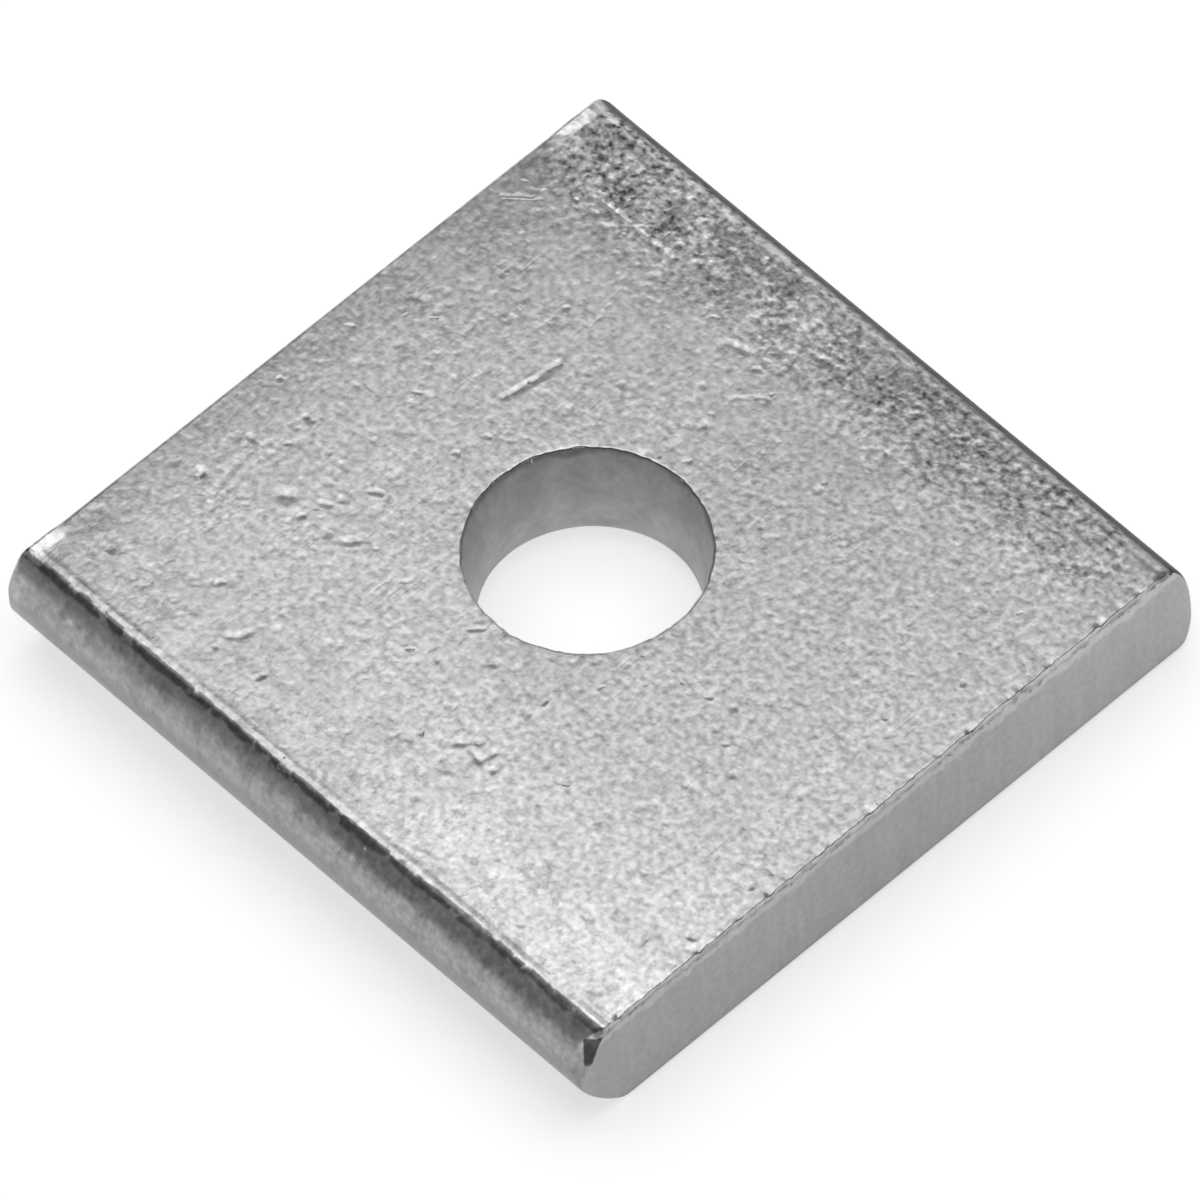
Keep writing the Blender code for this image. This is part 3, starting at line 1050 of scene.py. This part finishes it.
# %% Painted light and shade over the top, stains, and painted shade in pits and dents
painted_shade_right = product(tree, blend(tree, place_x, -5.0, 3.0), blend(tree, place_y, -14.0, -4.0))
painted_shade_far = product(
    tree,
    blend(tree, place_y, 13.2, 14.8),
    blend(tree, place_y, 17.1, 16.7, 0.3, 1.0),
    blend(tree, place_x, -4.0, 3.0, 0.3, 0.7),
    blend(tree, place_x, 15.3, 17.0, 1.0, -0.6),
)
painted_light_left = product(tree, blend(tree, place_x, -6.0, -11.0), blend(tree, place_y, 13.0, 10.0), top_only)
painted_light_near = product(tree, blend(tree, place_y, -12.0, -15.0), blend(tree, place_x, -2.0, 6.0), top_only)
stains = blend(tree, grain(tree, place, 0.9, detail=3.0, harshness=0.75), 0.50, 0.36)
worms = product(tree, skin_out["Crease"], near_band, top_only, blend(tree, stains, 0.0, 0.3, 0.5, 1.0))
near_stains = product(tree, near_band, stains, top_only)
# Painted light and shade: the top is painted darker on the right and near the far edge, and paler on the
# left and by the near edge. Pits, the spots by the near edge and the deeper dents get painted shade. The
# stains and worm lines by the near edge are the skin's own tone.
top_tone = tones(
    tree,
    (painted_shade_right, 0.86), (painted_shade_far, 0.86), (painted_light_left, 1.06), (painted_light_near, 1.12),
    (near_stains, 0.83), (worms, 0.84),
    (product(tree, pit_out["Mask"], top_only), 0.72),
    (product(tree, near_spots["Mask"], near_band, top_only), 0.78),
    (product(tree, marks_mask, top_only), 0.45),
)
rolled_height = total(
    tree, skin_out["Height"], pit_out["Height"], hatch["Height"],
    product(tree, scratch_mask, top_only, -SCRATCH_DEPTH),
)
rolled_roughness = total(tree, skin_out["Dullness"], ROLLED_ROUGHNESS, product(tree, far_side, 0.2))
rolled_tone = product(tree, skin_out["Tone"], edge_tone, top_tone, chip_tone(tree, place))
coat(tree, metal, rolled_tone, rolled_roughness, rolled_height)
print("rolled zinc has", len(tree.nodes), "nodes")

# %% [markdown]
# ## The finish on the cut faces and in the hole
#
# A torn face under zinc is finely rough. Its colour is painted darker than the rolled skin, as
# painted shade, and streaks run up and down it, the way the blade went. Along the torn lip lie
# painted shade and a painted highlight. In the hole the lower land was burnished by the punch and
# the upper part was torn, so the wall darkens upwards. The whole wall is painted darker as painted
# shade, and a dark line of painted shade lies under the rim.

# %% Sheared zinc
SHEARED_ROUGHNESS = 0.42

sheared, tree, metal = bright_zinc("sheared_zinc", SHEARED_ROUGHNESS)
place, place_x, place_y, place_z = in_millimetres(tree)
skin_out = use_group(tree, skin, {
    "Place": place, "Fleck Depth": 0.010, "Grit Depth": 0.002, "Peel Depth": 0.012,
    "Speckle Range": 0.25, "Patch Range": 0.15,
})
streaks = grain(tree, stretched(tree, place, (1, 2.2, 0.25)), 1.0, detail=3.0)
wander = total(tree, grain(tree, place, 0.9, detail=2.0), -0.5)
fine_wander = total(tree, grain(tree, place, 2.4, detail=2.0, harshness=0.6), -0.5)
lip_z = total(tree, place_z, product(tree, wander, 0.7), product(tree, fine_wander, 0.8))
breaks = blend(tree, grain(tree, place, 1.2, detail=2.0, harshness=0.7), 0.44, 0.54)
right_face = calculate(tree, "GREATER_THAN", place_x, 0.0)
# Painted shade and light on the right cut face: a broken dark line under the lip, a bright line below
# it, a paler band at the lip's top, dark dashes along the lip and a darker foot
lip_shade_line = product(
    tree, right_face, blend(tree, lip_z, 5.95, 6.10), blend(tree, lip_z, 6.42, 6.22), breaks,
)
lip_highlight_line = product(
    tree, right_face, blend(tree, lip_z, 5.30, 5.60), blend(tree, lip_z, 6.05, 5.85),
)
foot_shade = blend(tree, place_z, 0.75, 0.30)
lip_band = product(tree, right_face, blend(tree, place_z, 5.5, 6.1))
lip_light_and_shade = tones(
    tree,
    (lip_shade_line, 0.70), (lip_highlight_line, 1.30), (foot_shade, 0.85),
    (product(tree, right_face, blend(tree, lip_z, 6.00, 6.30)), 1.45),
    (product(tree, lip_band, blend(tree, fine_wander, 0.02, 0.14)), 0.72),
)
# The cut faces' colour is painted darker than the rolled skin, as painted shade. The streaks vary it,
# and it is paler towards the far end.
cut_tone = product(
    tree, lip_light_and_shade, chip_tone(tree, place),
    blend(tree, streaks, 0.3, 0.7, 0.54, 0.58),
    blend(tree, place_y, 3.0, 13.0, 1.0, 1.12),
)
cut_height = total(tree, skin_out["Height"], product(tree, streaks, 0.006))
coat(tree, metal, product(tree, skin_out["Tone"], cut_tone), SHEARED_ROUGHNESS, cut_height)
print("sheared zinc has", len(tree.nodes), "nodes")

# %% Punched zinc
PUNCHED_ROUGHNESS = 0.45

punched, tree, metal = bright_zinc("punched_zinc", PUNCHED_ROUGHNESS)
place, place_x, place_y, place_z = in_millimetres(tree)
skin_out = use_group(tree, skin, {
    "Place": place, "Fleck Depth": 0.010, "Grit Depth": 0.002, "Peel Depth": 0.010,
    "Speckle Range": 0.30, "Patch Range": 0.15,
})
cloud = grain(tree, place, 0.5, detail=2.0)
cloudy_z = total(tree, place_z, product(tree, total(tree, cloud, -0.5), 1.2))
# The wall's colour is painted darker than the rolled skin, as painted shade. It darkens upwards from the
# burnished land to the torn part, a dark line of painted shade lies under the rim, and clouds vary its
# tone.
wall_tone = product(
    tree,
    blend(tree, place_z, 1.0, 6.2, 0.59, 0.51),
    blend(tree, cloudy_z, 5.95, 6.35, 1.0, 0.60),
    blend(tree, cloud, 0.35, 0.65, 0.92, 1.08),
)
coat(tree, metal, product(tree, skin_out["Tone"], wall_tone), PUNCHED_ROUGHNESS, skin_out["Height"])
print("punched zinc has", len(tree.nodes), "nodes")

# %% Which face gets which finish
SHEARED_FACING = 0.75
LEVEL_FACING = 0.8
CUT_FACE_DEPTH = 0.6 * MM
WALL_SPARE = 0.02 * MM

for material in (rolled, sheared, punched):
    washer.data.materials.append(material)
middles = read_vectors(washer.data.polygons, "center")
facings = read_vectors(washer.data.polygons, "normal")
at_an_end = np.abs(middles[:, 0]) > HALF_LENGTH - CUT_FACE_DEPTH
is_cut = at_an_end & (np.abs(facings[:, 0]) > SHEARED_FACING)
at_the_hole = np.hypot(middles[:, 0] - HOLE_X, middles[:, 1]) < TOP_RADIUS + WALL_SPARE
is_wall = at_the_hole & (np.abs(facings[:, 2]) < LEVEL_FACING)
finish_of_face = np.where(is_wall, 2, np.where(is_cut, 1, 0)).astype(np.int32)
washer.data.polygons.foreach_set("material_index", finish_of_face)
washer.data.update()
print("faces: rolled, sheared, punched =", np.bincount(finish_of_face).tolist())
